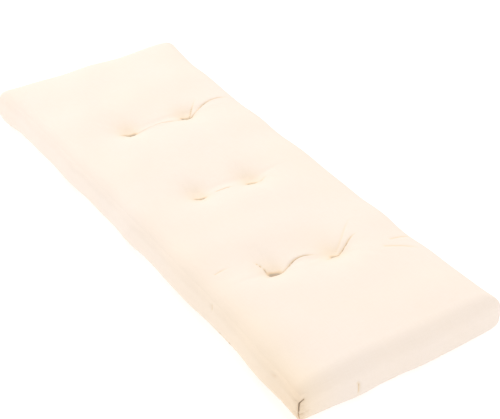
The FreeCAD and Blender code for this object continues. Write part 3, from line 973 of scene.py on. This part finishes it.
def layer_sheet(share, inset, rough):
    """One surface of a layer, at a share of the way from the underside to the top."""
    x, y = np.meshgrid(coarse.lines[0] / (LENGTH / 2), coarse.lines[1] / (WIDTH / 2), indexing="ij")
    beyond = max(0, abs(share - 0.5) * HEIGHT - (HEIGHT / 2 - EDGE))
    reach = EDGE - math.sqrt(EDGE**2 - beyond**2) + inset
    plan = outline(np.stack([x, y], -1), LENGTH / 2 - reach, WIDTH / 2 - reach, EDGE)
    edge = np.maximum(np.abs(x), np.abs(y))[..., None] ** 30
    plan = plan * (1 - rough * edge * rng.uniform(0, 1, plan.shape[:2])[..., None] / (WIDTH / 2))
    at = nearest(fine.lines[0], plan[..., 0]), nearest(fine.lines[1], plan[..., 1])
    level = ground[at] + share * (ceiling[at] - ground[at])
    return np.concatenate([plan + drawn_in(plan), level[..., None]], -1)


def layer(name, low_share, high_share, inset, rough):
    """A closed layer of filling between two shares of the thickness."""
    sheets = [layer_sheet(share, inset, rough) for share in (low_share + LAYER_GAP, high_share - LAYER_GAP)]
    shape = sheets[0].shape[:2]
    points = np.concatenate([sheet.reshape(-1, 3) for sheet in sheets])
    index = np.arange(shape[0] * shape[1]).reshape(shape)
    quads, ring = sheet_quads(index), sheet_rim(index)
    after = np.roll(ring, -1)
    above = index.size
    wall = np.stack([ring, after, after + above, ring + above], -1)
    return make_mesh(name, points, np.concatenate([quads[:, ::-1], quads + above, wall]))


def edge_roll(name):
    """Batting rolled round the foam core's edge, from its section: shares of the thickness and insets."""
    low, high = (CORE[0][2] + MM) / HEIGHT, (CORE[1][2] - MM) / HEIGHT
    inner = LENGTH / 2 - CORE[1][0] - 0.8 * MM
    section = [(low, inner), (low, 9 * MM), (0.42, 7.5 * MM), (0.5, 7 * MM), (0.58, 7.5 * MM),
               (high, 9 * MM), (high, inner)]
    sheets = [layer_sheet(share, inset, 0) for share, inset in section]
    loops = np.array([sheet_rim(sheet) for sheet in sheets])
    return make_mesh(name, loops.reshape(-1, 3), skin_faces(*loops.shape[:2], closed=True))


core_shares = CORE[0][2] / HEIGHT, CORE[1][2] / HEIGHT
for side, start, end in (("lower", 0.0, core_shares[0]), ("upper", 1.0, core_shares[1])):
    for number in range(BATTS):
        shares = sorted(start + (end - start) * n / BATTS for n in (number, number + 1))
        name = f"{side}_batt_{number + 1}"
        dress(layer("soft_" + name, *shares, 8 * MM, 2 * MM), BATTING, "cotton_batting", name, fill=0.8)
foam = layer("soft_foam_core", *core_shares, LENGTH / 2 - CORE[1][0], 0)
dress(foam, FOAM, "foam", "foam_core", fill=1.0)
dress(edge_roll("soft_edge_roll"), BATTING, "cotton_batting", "edge_roll", fill=0.7)


# ------------ twine, washers and stitches

TWINE_SIZE = 1.6 * MM
THREAD_SIZE = 0.8 * MM
LOOP_HALF = 5 * MM  # half the width of a twine loop
LOOP_BEND = 1.2 * MM
FELT_RADIUS, FELT_THICK = 9 * MM, 2 * MM


def surface_height(x, y, upper):
    """The height of the casing's top or underside at the grid point nearest x, y."""
    i, j = nearest(fine.lines[0], x), nearest(fine.lines[1], y)
    return surface[fine.index[i, j, -1 if upper else 0], 2]


def tuft(name):
    """The twine loop through the pad with its knot, and the felt washer under it."""
    along, _ = heading_and_right(SLITS[name][1])
    top = surface_height(*slit_place(name), True) + 0.3 * TWINE_SIZE
    floor = surface_height(*TUFTS[name], False)
    low = floor - FELT_THICK - 0.5 * TWINE_SIZE
    centre = np.array([*TUFTS[name], 0])
    lean = np.array([*(slit_place(name) - TUFTS[name]), 0])
    up = np.array([0, 0, 1])
    across = np.cross(up, along)

    def at(side, level):
        return centre + lean * (level - low) / (top - low) + along * side * LOOP_HALF + up * level

    loop = [centre + up * low]
    for side, level, sign in ((1, low, -1), (1, top, 1), (-1, top, 1), (-1, low, -1)):
        flat = at(side, level) - along * side * LOOP_BEND
        upright = at(side, level) - up * sign * LOOP_BEND
        turned = [flat, at(side, level) - (along * side + up * sign) * LOOP_BEND * 0.3, upright]
        loop += turned if (side > 0) == (sign < 0) else turned[::-1]
    loop.append(centre + up * low)
    solids = twisted(resample(loop, 0.6 * MM), TWINE_SIZE, 4 * MM)
    turns = np.linspace(0, 2 * math.pi, 24, endpoint=False)[:, None]
    for side in (-1, 1):
        middle = centre + along * side * 0.9 * MM + up * (low - 0.6 * MM)
        wrap = middle + 1.5 * MM * (np.cos(turns) * across + np.sin(turns) * up * 0.8)
        wrap = wrap + np.sin(turns) * along * 0.5 * MM
        solids.append(tube(wrap, 0.42 * TWINE_SIZE, 8, closed=True))
        tail = smooth_path([middle, middle + along * side * 3 * MM + across * side * 1 * MM - up * 0.6 * MM,
                            middle + along * side * 6 * MM + across * side * 4 * MM - up * 0.2 * MM])
        solids += twisted(tail, TWINE_SIZE * 0.9, 4 * MM)
    dress(joined("twine_" + name, solids), TWINE, "waxed_twine", "tuft_twine_" + name)
    foot = centre + up * (floor - FELT_THICK)
    dress(washer("washer_" + name, foot), FELT, "felt", "tuft_washer_" + name)


def washer(name, foot):
    """A felt disc, uneven at its cut edge and pressed in where the twine pulls on it."""
    sides = 40
    profile = [(0.25, 0.02), (0.7, 0.0), (0.93, 0.06), (1.0, 0.3),
               (1.0, 0.7), (0.93, 0.95), (0.6, 1.0), (0.25, 0.9)]
    turns = np.linspace(0, 2 * math.pi, sides, endpoint=False)
    wave = 1 + 0.018 * np.sin(3 * turns + rng.uniform(0, 6)) + 0.012 * np.sin(7 * turns + rng.uniform(0, 6))
    points = []
    for out, level in profile:
        ring = FELT_RADIUS * out * wave
        height = np.full(sides, level * FELT_THICK)
        points.append(np.stack([ring * np.cos(turns), ring * np.sin(turns), height], 1) + foot)
    return make_mesh(name, np.vstack(points), skin_faces(len(profile), sides))


for name in TUFTS:
    tuft(name)


def lower_seam_thread():
    """Machine stitches through the allowances, from one end of the hand-closed gap to the other."""
    ring = fine.ring(2)
    line = surface[ring] - outward[ring] * 2.1 * CLOTH  # between the two panels' allowances
    closing = (line[:, 0] < LOW[0] + 16 * MM) & (np.abs(line[:, 1]) < CLOSING[1][1])
    first = np.nonzero(closing)[0][-1] + 1
    order = np.roll(np.arange(len(ring)), -first)[: (~closing).sum()]
    path = resample(line[order], 0.5 * MM)
    spots = np.linspace(0, 1, len(path))
    marks = np.linspace(0, 1, len(order))
    through = np.stack([np.interp(spots, marks, outward[ring[order]][:, axis]) for axis in range(3)], 1)
    swing = MM * np.clip(2 * np.sin(np.arange(len(path)) * 2 * math.pi / 12), -1, 1)
    piece = joined("stitching_lower_seam", [tube(path + through * swing[:, None], THREAD_SIZE * 0.4, 5)])
    dress(piece, THREAD, "sewing_thread", "lower_seam_thread")


def corner_threads():
    """The stitching inside each boxed corner, under the cloth."""
    for name, (side_x, side_y) in CORNER_NAMES.items():
        column = fine.index[0 if side_x < 0 else -1, 0 if side_y < 0 else -1, 3:]
        heading = np.array([-side_x, -side_y, 0]) / math.sqrt(2)
        path = resample(surface[column] + heading * 7 * MM, 0.5 * MM)
        stitch = 0.8 * MM * np.sin(np.arange(len(path)) * 2 * math.pi / 6)
        solid = tube(path + heading * stitch[:, None], THREAD_SIZE * 0.4, 5)
        piece = joined("stitching_corner_" + name, [solid])
        dress(piece, THREAD, "sewing_thread", "corner_thread_" + name)


def closing_stitches():
    """Whip stitches by hand over the lower seam at -X, each a little different."""
    pitch = 8 * MM
    count = int((CLOSING[1][1] - CLOSING[0][1]) / pitch) + 1
    end = np.nonzero(base[:, 0] < LOW[0] + 40 * MM)[0]
    around = 2 * (LENGTH - 2 * EDGE) + 1.5 * (WIDTH - 2 * EDGE)
    solids = []
    for n in range(count):
        off = (n - (count - 1) / 2) * pitch + rng.normal(0, 0.5) * MM
        reach = rng.uniform(3.4, 4.6) * MM
        slant = rng.uniform(1.4, 2.6) * MM
        path = []
        for share in (-1.0, -0.85, -0.45, 0.0, 0.45, 0.85, 1.0):
            nominal = rim_point(around + off + share * slant, share * reach)
            at = end[np.argmin(np.linalg.norm(base[end] - nominal, axis=1))]
            lift = 0.5 * MM if abs(share) < 0.9 else -1.8 * MM
            path.append(nominal + (surface - base)[at] + outward[at] * lift)
        solids += twisted(smooth_path(path, 4), 1.0 * MM, 2.6 * MM)
    dress(joined("stitching_closing", solids), THREAD, "sewing_thread", "closing_stitches")


lower_seam_thread()
corner_threads()
closing_stitches()


# ------------ stage, light and camera

def stage():
    """A plain white floor, lit partly from within so that it stays even."""
    size = 30.0
    corners = [(x * size, y * size, LOW[2]) for x, y in ((-1, -1), (1, -1), (1, 1), (-1, 1))]
    floor = make_mesh("floor", corners, [(0, 1, 2, 3)])
    white = Material("floor_white", (0.60, 0.60, 0.60), 0.95)
    white.shader.inputs["Emission Color"].default_value = (1, 1, 1, 1)
    white.shader.inputs["Emission Strength"].default_value = 0.54
    floor.data.materials.append(white.made)
    floor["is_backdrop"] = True


def light(name, place, size, power):
    """A square white lamp that points at the mattress."""
    lamp = bpy.data.lights.new(name, "AREA")
    lamp.size = size
    lamp.energy = power
    made = put(name, lamp)
    made.location = place
    made.rotation_euler = Vector(place).to_track_quat("Z", "Y").to_euler()


def camera(azimuth, elevation, distance, target, lens):
    """A camera that looks at target from an azimuth and elevation in degrees."""
    turn, tilt = math.radians(azimuth), math.radians(elevation)
    back = Vector((math.sin(turn) * math.cos(tilt), -math.cos(turn) * math.cos(tilt), math.sin(tilt)))
    made = put("camera", bpy.data.cameras.new("camera"))
    made.data.lens = lens
    made.data.clip_start = 0.05
    made.location = Vector(target) + back * distance
    made.rotation_euler = back.to_track_quat("Z", "Y").to_euler()
    bpy.context.scene.camera = made


stage()
world = bpy.data.worlds.new("soft_white")
world.use_nodes = True
glow = world.node_tree.nodes["Background"].inputs
glow["Color"].default_value = (1, 0.95, 0.885, 1)
glow["Strength"].default_value = 0.78
bpy.context.scene.world = world
bpy.context.scene.view_settings.view_transform = "Standard"
light("key", (-2.6, 0.4, 2.2), 2.0, 33.5)
light("left", (-1.7, -1.5, 1.1), 2.4, 14)
light("right", (1.3, 0.6, 2.0), 1.6, 12.5)
camera(56.57, 35.37, 2.087, (0.0334, 0.03, 0.0231), 95.72)

boxes = {"cad": cad_box, "visual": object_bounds()}
{name: [[float(v) for v in corner] for corner in box] for name, box in boxes.items()}
